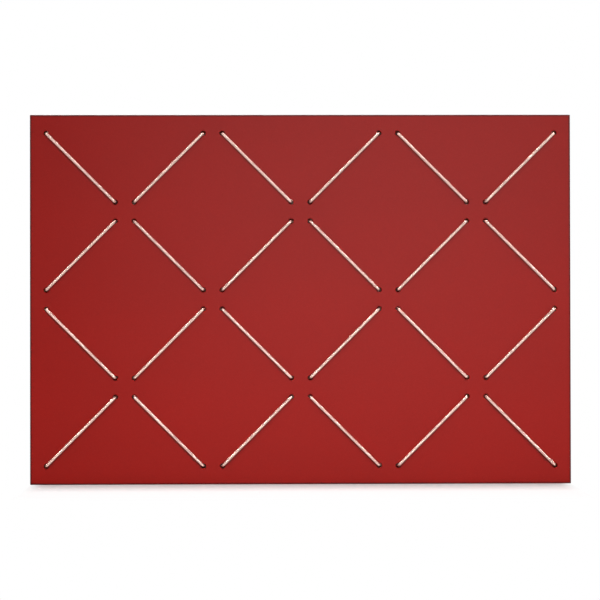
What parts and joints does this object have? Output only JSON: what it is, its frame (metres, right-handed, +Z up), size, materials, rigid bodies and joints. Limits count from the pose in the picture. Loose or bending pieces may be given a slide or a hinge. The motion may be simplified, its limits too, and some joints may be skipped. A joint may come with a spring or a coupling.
{
  "type": "pin board",
  "caption": "Rectangular linoleum-faced pin board laced with zig-zag elastic cords that hold notes, with keyhole hanging plates let into its back.",
  "frame": {"origin": "middle of the flat back face, on the wall", "axes": "+X to the right as seen from the front, +Y into the wall, +Z up; the front faces -Y"},
  "size_m": [0.6, 0.0193, 0.41],
  "materials": {
    "linoleum": "satin",
    "fibreboard": "matte",
    "elastic_cord": "matte",
    "zinc_plate": "satin",
    "screw_steel": "satin"
  },
  "bodies": {
    "root": {"linoleum_facing": "linoleum", "carrier_board": "fibreboard", "elastic_cord_row_1": "elastic_cord", "elastic_cord_row_2": "elastic_cord", "elastic_cord_row_3": "elastic_cord", "elastic_cord_row_4": "elastic_cord", "keyhole_plate_left": "zinc_plate", "keyhole_plate_right": "zinc_plate", "plate_screw_left_upper": "screw_steel", "plate_screw_left_lower": "screw_steel", "plate_screw_right_upper": "screw_steel", "plate_screw_right_lower": "screw_steel"}
  },
  "joints": []
}
